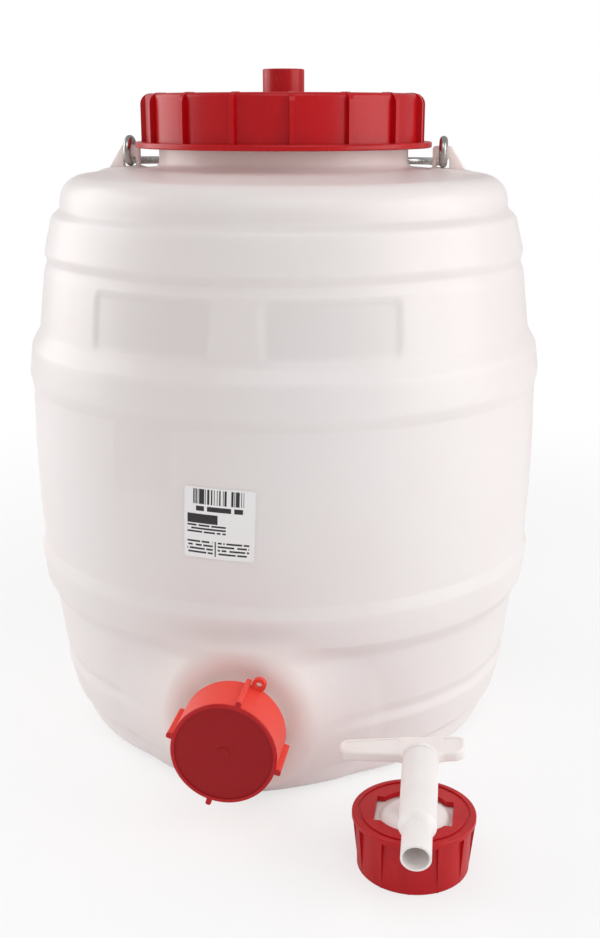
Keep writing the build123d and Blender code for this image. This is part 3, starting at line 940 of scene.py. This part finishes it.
    def _boss_reach(self, away: float, line: list[Vector]) -> float:
        """How far the swelling reaches forwards from the drum's axis.

        Args:
            away: the distance from the outlet's axis.
            line: the swelling's outline, distance from the outlet's axis and drop behind its face.

        Returns:
            The reach in metres.
        """
        root = self.spout_root * smooth_step(away, self.spout_radius + 2 * self.spout_root, self.spout_radius)
        for near, far in zip(line, line[1:]):
            if away <= far.x:
                return self.boss_face + root - near.y - (far.y - near.y) * (away - near.x) / (far.x - near.x)
        return 0.0

    def _pushed(self, radius: float, spot: Vector, inset: float, line: list[Vector]) -> Vector:
        """A point of the skin, moved forwards onto the outlet's swelling where that stands further out.

        Args:
            radius: the skin's radius at the point's height.
            spot: the point on the plain drum.
            inset: how far the skin is drawn in from the outside.
            line: the swelling's outline.

        Returns:
            The point on the finished skin.
        """
        across, up = spot.x, spot.z - OUTLET_HEIGHT
        away = hypot(across, up)
        hole = self.spout_radius - self.wall / 2
        if away > 0.0 and abs(away - hole) < self.pace / 4:
            across, up = across * hole / away, up * hole / away
            away = hole
        low = smooth_step(spot.z, self.chin_round, 0.0)
        chin = self.chin_round * (1 - sqrt(1 - low**2 * self.chin_share))
        boss = self._boss_reach(away, line) - inset - chin
        pushed = soft_greater(-spot.y, boss, self.boss_blend)
        share = 1.0
        if spot.z <= inset:
            share = smooth_step(radius, self.base_free, self.base_free + self.base_blend)
        height = up + OUTLET_HEIGHT if share == 1.0 and spot.z > inset else spot.z
        return Vector((across, spot.y - (pushed + spot.y) * share, height))

    def _skin(self, inset: float, pace: float, turns: list[float]) -> list[list[Vector]]:
        """Rings of points of one skin, from the base to the neck's rim.

        Args:
            inset: how far the skin is drawn in from the outside.
            pace: the step between rings.
            turns: the azimuths of the columns.

        Returns:
            One list of points for each ring.
        """
        boss_line = rounded_outline(list(self.boss_outline), list(self.boss_rounds), self.fine_pace)
        rings = []
        for radius, height in self._outline(inset, pace):
            ring = []
            for turn in turns:
                signed = turn - 360.0 if turn > 180.0 else turn
                reach, lift = radius, 0.0
                if inset == 0.0:
                    off_seam = radians(abs(abs(signed) - 90.0)) * radius
                    reach -= sum(moulded.sink(radius, signed, height) for moulded in self.fields)
                    if self.foot_height < height < self.ear_corners[-1][1]:
                        reach += self.seam_proud * smooth_step(off_seam, 1.5 * self.seam_half, 0.0)
                    if height > self.ear_foot:
                        on_ear = smooth_step(radius, *self.ear_inner_fade)
                        on_ear *= smooth_step(radius, *self.ear_outer_fade)
                        beside = smooth_step(off_seam, 4 * self.ear_half, self.ear_half)
                        lift = self.ear_flare * on_ear * beside
                azimuth = radians(signed)
                spot = Vector((reach * sin(azimuth), -reach * cos(azimuth), height + lift))
                if abs(signed) < self.boss_spread and height < self.boss_top and radius > self.base_free:
                    spot = self._pushed(radius, spot, inset, boss_line)
                ring.append(spot)
            rings.append(ring)
        return rings

    def _shell(self, mesh: bmesh.types.BMesh) -> None:
        """Adds the outer and the inner skin, joined over the neck's rim and open at the spout.

        Args:
            mesh: the mesh to add to.
        """
        turns = self._turns()
        outer = self._skin(0.0, self.pace, turns)
        inner = self._skin(self.wall, 4 * self.pace, turns)
        rings = outer + inner[-2::-1]
        rows = [[mesh.verts.new(point) for point in ring] for ring in rings]
        hubs = [mesh.verts.new((0.0, 0.0, height)) for height in (0.0, self.wall)]
        hole = self.spout_radius - self.wall / 2 - self.hole_margin
        around = len(turns)
        for column in range(around):
            after = (column + 1) % around
            mesh.faces.new((hubs[0], rows[0][after], rows[0][column]))
            mesh.faces.new((hubs[1], rows[-1][column], rows[-1][after]))
            for low, high in zip(rows, rows[1:]):
                corners = (low[column], low[after], high[after], high[column])
                middle = sum((corner.co for corner in corners), Vector()) / 4
                away = hypot(middle.x, middle.z - OUTLET_HEIGHT)
                if middle.y > self.boss_behind or away > hole:
                    mesh.faces.new(corners)

    def _spout(self, mesh: bmesh.types.BMesh, steps: int = 96) -> None:
        """Adds the spout's tube, whose back end lies in the swelling's wall.

        Args:
            mesh: the mesh to add to.
            steps: corners round the tube.
        """
        bore, back = self.spout_radius - self.wall, self.boss_face - self.wall - self.spout_sink
        corners = [
            (bore, back),
            (self.spout_radius, back),
            (self.spout_radius, self.spout_reach),
            (bore, self.spout_reach),
            (bore, back),
        ]
        section = rounded_outline(corners, [0.0, self.spout_rim, self.spout_rim], self.spout_pace)[:-1]
        rows = []
        for number in range(steps):
            angle = 2 * pi * number / steps
            ring = [(r * cos(angle), -reach, OUTLET_HEIGHT + r * sin(angle)) for r, reach in section]
            rows.append([mesh.verts.new(point) for point in ring])
        for row, beside in zip(rows, rows[1:] + rows[:1]):
            for place in range(len(section)):
                after = (place + 1) % len(section)
                mesh.faces.new((row[place], row[after], beside[after], beside[place]))

    def _ears(self, mesh: bmesh.types.BMesh) -> None:
        """Adds the two ears: upright plates with a hole under the top strip and soft edges.

        Args:
            mesh: the mesh to add to.
        """
        left, foot, right, top = self.ear_hole
        start = ((left + right) / 2, foot)
        hole = [start, (right, foot), (right, top), (left, top), (left, foot), start]
        closed = [*self.ear_corners, self.ear_corners[0]]
        rims = [
            rounded_outline(closed, [self.ear_corner_round] * 2 + [0.0], self.fine_pace)[:-1],
            rounded_outline(hole, [self.ear_hole_round] * 4, self.fine_pace)[:-1],
        ]
        curve = bpy.data.curves.new("ear_outline", "CURVE")
        curve.dimensions = "2D"
        curve.fill_mode = "BOTH"
        curve.extrude = self.ear_half - self.ear_bevel
        curve.bevel_depth = self.ear_bevel
        curve.bevel_resolution = 2
        curve.offset = -self.ear_bevel
        for rim in rims:
            spline = curve.splines.new("POLY")
            spline.points.add(len(rim) - 1)
            for point, place in zip(spline.points, rim):
                point.co = (place.x, place.y, 0.0, 1.0)
            spline.use_cyclic_u = True
        holder = bpy.data.objects.new("ear_outline", curve)
        plate = bpy.data.meshes.new_from_object(holder)
        for side in (1, -1):
            seats = [mesh.verts.new((side * v.co.x, side * v.co.z, v.co.y)) for v in plate.vertices]
            for face in plate.polygons:
                mesh.faces.new([seats[number] for number in face.vertices])
        bpy.data.objects.remove(holder)
        bpy.data.curves.remove(curve)
        bpy.data.meshes.remove(plate)

    def _threads(self, milk: bpy.types.Material) -> None:
        """Winds the neck's and the spout's threads.

        Args:
            milk: the drum's material.
        """
        shoulder = self.foot_height + 2 * sum(step.rise for step in self.side) + self.shoulder_side
        foot = shoulder + self.shoulder_crown + self.neck_thread_rise
        ScrewThread(
            "neck_thread", "drum", "natural_polyethylene", Vector((0, 0, foot)), Vector((0, 0, 1)),
            self.neck_radius, self.neck_crest, NECK_PITCH, self.neck_turns, ThreadSide.OUTWARD,
        ).build(milk)
        ScrewThread(
            "spout_thread", "drum", "natural_polyethylene",
            Vector((0, -SPOUT_THREAD_FOOT, OUTLET_HEIGHT)), Vector((0, -1, 0)),
            self.spout_radius, self.spout_crest, SPOUT_PITCH, self.spout_turns, ThreadSide.OUTWARD,
        ).build(milk)

    def build(self) -> None:
        """Makes the drum's skin in place of the plain solid, winds its threads and dresses its label."""
        milk = MilkyPolyethylene().material()
        mesh = bmesh.new()
        self._shell(mesh)
        self._spout(mesh)
        self._ears(mesh)
        bmesh.ops.remove_doubles(mesh, verts=mesh.verts, dist=self.weld)
        bmesh.ops.recalc_face_normals(mesh, faces=mesh.faces)
        skin = new_piece("drum_skin", [], [])
        mesh.to_mesh(skin.data)
        mesh.free()
        smooth(skin, self.crease)
        dress(skin, milk)
        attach(skin, "drum")
        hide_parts("drum")
        self._threads(milk)
        dress(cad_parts["label"], PrintedPaper().material())
        LOG.info("drum_skin: %d faces; label dressed", len(skin.data.polygons))


@dataclass(frozen=True)
class Closures:
    """The screw lid, the outlet cap and the nut, with their inner threads and seals, and the tap and bail."""

    lid_bore: float = 69.8 * MM
    lid_crest: float = 67.0 * MM
    lid_turns: float = 1.6
    lid_thread_foot: float = 318.0 * MM
    cap_bore: float = 22.9 * MM
    cap_crest: float = 20.5 * MM
    cap_turns: float = 2.4
    nut_bore: float = 22.75 * MM
    nut_middle: Point = (88.1 * MM, -169.7 * MM, 3.0 * MM)
    lead: float = 0.5

    def _inner_threads(self) -> None:
        """Winds the threads in the lid, the cap and the nut, which start half a turn round."""
        up, out = Vector((0, 0, 1)), Vector((0, -1, 0))
        spout = Vector((0, -SPOUT_THREAD_FOOT, OUTLET_HEIGHT))
        lid = (self.lid_bore, self.lid_crest, NECK_PITCH, self.lid_turns)
        cap = (self.cap_bore, self.cap_crest, SPOUT_PITCH, self.cap_turns)
        nut = (self.nut_bore, self.cap_crest, SPOUT_PITCH, self.cap_turns)
        threads = (
            ("lid", "lid", Vector((0, 0, self.lid_thread_foot)), up, lid),
            ("cap", "outlet_cap", spout, out, cap),
            ("nut", "union_nut", Vector(self.nut_middle), up, nut),
        )
        for body, node, foot, axis, sizes in threads:
            thread = ScrewThread(
                f"{node}_thread", body, "red_plastic", foot, axis, *sizes, ThreadSide.INWARD, self.lead
            )
            thread.build(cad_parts[node].data.materials[0])

    def build(self) -> None:
        """Dresses the red pieces, the seals, the bail and the tap, and winds the inner threads."""
        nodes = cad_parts
        dress(nodes["lid"], RedPlastic(RedPart.LID).material())
        dress(nodes["outlet_cap"], RedPlastic(RedPart.CAP, scuff_share=0.15).material())
        dress(nodes["union_nut"], RedPlastic(RedPart.NUT, roughness=0.34, scuff_share=0.2).material())
        foam = SealFoam().material()
        for name in ("lid_gasket", "outlet_seal", "tap_gasket"):
            dress(nodes[name], foam)
        dress(nodes["bail"], BailSteel().material())
        tap = TapPlastic().material()
        for name in ("tap_body", "tap_plug"):
            dress(nodes[name], tap)
        self._inner_threads()


@dataclass(frozen=True)
class Softbox:
    """A large soft studio lamp that faces the object."""

    name: str
    azimuth: float
    elevation: float
    distance: float
    width: float
    height: float
    radiance: float

    def build(self, target: Vector) -> None:
        """Places the lamp.

        Args:
            target: the point that it faces.
        """
        turn, rise = radians(self.azimuth), radians(self.elevation)
        way = Vector((sin(turn) * cos(rise), -cos(turn) * cos(rise), sin(rise)))
        lamp = bpy.data.lights.new(self.name, "AREA")
        lamp.shape = "RECTANGLE"
        lamp.size = self.width
        lamp.size_y = self.height
        lamp.energy = self.radiance * pi * self.width * self.height
        holder = bpy.data.objects.new(self.name, lamp)
        holder.location = target + way * self.distance
        holder.rotation_euler = way.to_track_quat("Z", "Y").to_euler()
        holder.visible_camera = False
        bpy.context.scene.collection.objects.link(holder)


@dataclass(frozen=True)
class Studio:
    """A white studio: a pale floor that keeps the shadow, a white world, and softboxes on three sides."""

    floor_reach: float = 12.0
    floor_drop: float = 0.2 * MM
    floor_matt: float = 0.90
    shadow_share: float = 0.34
    shadow_reach: tuple[float, float] = (0.28, 0.75)
    fill: float = 0.50
    target: Vector = field(default_factory=lambda: Vector((0.0, -0.03, 0.17)))
    softboxes: tuple[Softbox, ...] = (
        Softbox("left_softbox", -96.0, 20.0, 1.1, 1.0, 0.9, 2.3),
        Softbox("right_softbox", 82.0, 20.0, 1.1, 1.0, 0.9, 2.1),
        Softbox("front_softbox", 14.0, 52.0, 1.5, 1.1, 0.8, 1.5),
    )

    def _floor(self) -> None:
        """Lays the floor, which shows white to the camera but keeps the shadow near the object."""
        reach = self.floor_reach
        signs = ((-1, -1), (1, -1), (1, 1), (-1, 1))
        corners = [Vector((x * reach, y * reach, -self.floor_drop)) for x, y in signs]
        floor_piece = new_piece("floor", corners, [(0, 1, 2, 3)])
        material, graph = new_material("white studio floor")
        out = graph.node("ShaderNodeVectorMath", {"operation": "LENGTH"}, {0: graph.place()}, "Value")
        near = 1.0 - self.shadow_share * out.ease(self.shadow_reach[1], self.shadow_reach[0])
        matt = graph.node("ShaderNodeBsdfDiffuse", inputs={"Color": (*[self.floor_matt] * 3, 1.0)})
        glow = graph.node("ShaderNodeEmission", inputs={"Color": WHITE, "Strength": 1.0})
        both = graph.node("ShaderNodeMixShader", inputs={"Fac": self._seen(graph) * near, 1: matt, 2: glow})
        graph.node("ShaderNodeOutputMaterial", inputs={"Surface": both})
        dress(floor_piece, material)

    @staticmethod
    def _seen(graph: Graph) -> Wire:
        """Tells the rays that should meet plain white.

        Args:
            graph: the graph that the nodes go into.

        Returns:
            1 for rays from the camera and for those through something clear, else 0.
        """
        names = ("Is Camera Ray", "Is Transmission Ray")
        rays = [graph.node("ShaderNodeLightPath", output=name) for name in names]
        return rays[0].apply("MAXIMUM", rays[1])

    def _world(self) -> None:
        """Sets a white world with a plain fill light."""
        world = bpy.data.worlds.new("studio")
        world.use_nodes = True
        bpy.context.scene.world = world
        graph = Graph(world.node_tree)
        strength = self.fill + (1.0 - self.fill) * self._seen(graph)
        sky = graph.node("ShaderNodeBackground", inputs={"Color": WHITE, "Strength": strength})
        graph.node("ShaderNodeOutputWorld", inputs={"Surface": sky})

    def build(self) -> None:
        """Makes the floor, the world and the lamps."""
        self._floor()
        self._world()
        for softbox in self.softboxes:
            softbox.build(self.target)
        bpy.context.scene.view_settings.view_transform = "Standard"
        LOG.info("studio: %d softboxes", len(self.softboxes))


@dataclass(frozen=True)
class PhotoCamera:
    """The camera at the photograph's place."""

    place: Point = (0.1142, -0.6659, 0.3315)
    pan: float = 9.0
    pitch: float = 16.15
    lens: float = 47.2
    long_side: float = 36.0

    def build(self) -> None:
        """Makes the camera and sets it as the scene's."""
        data = bpy.data.cameras.new("camera")
        data.lens = self.lens
        data.sensor_width = self.long_side
        data.clip_start = 0.01
        camera = bpy.data.objects.new("camera", data)
        camera.location = self.place
        camera.rotation_euler = (radians(90.0 - self.pitch), 0.0, radians(self.pan))
        bpy.context.scene.collection.objects.link(camera)
        bpy.context.scene.camera = camera


def main() -> None:
    """Builds the studio, the camera and each sub-assembly in order."""
    logging.basicConfig(level=logging.INFO, format="%(name)s: %(message)s")
    PhotoCamera().build()
    Studio().build()
    Drum().build()
    Closures().build()


if __name__ == "__main__":
    main()
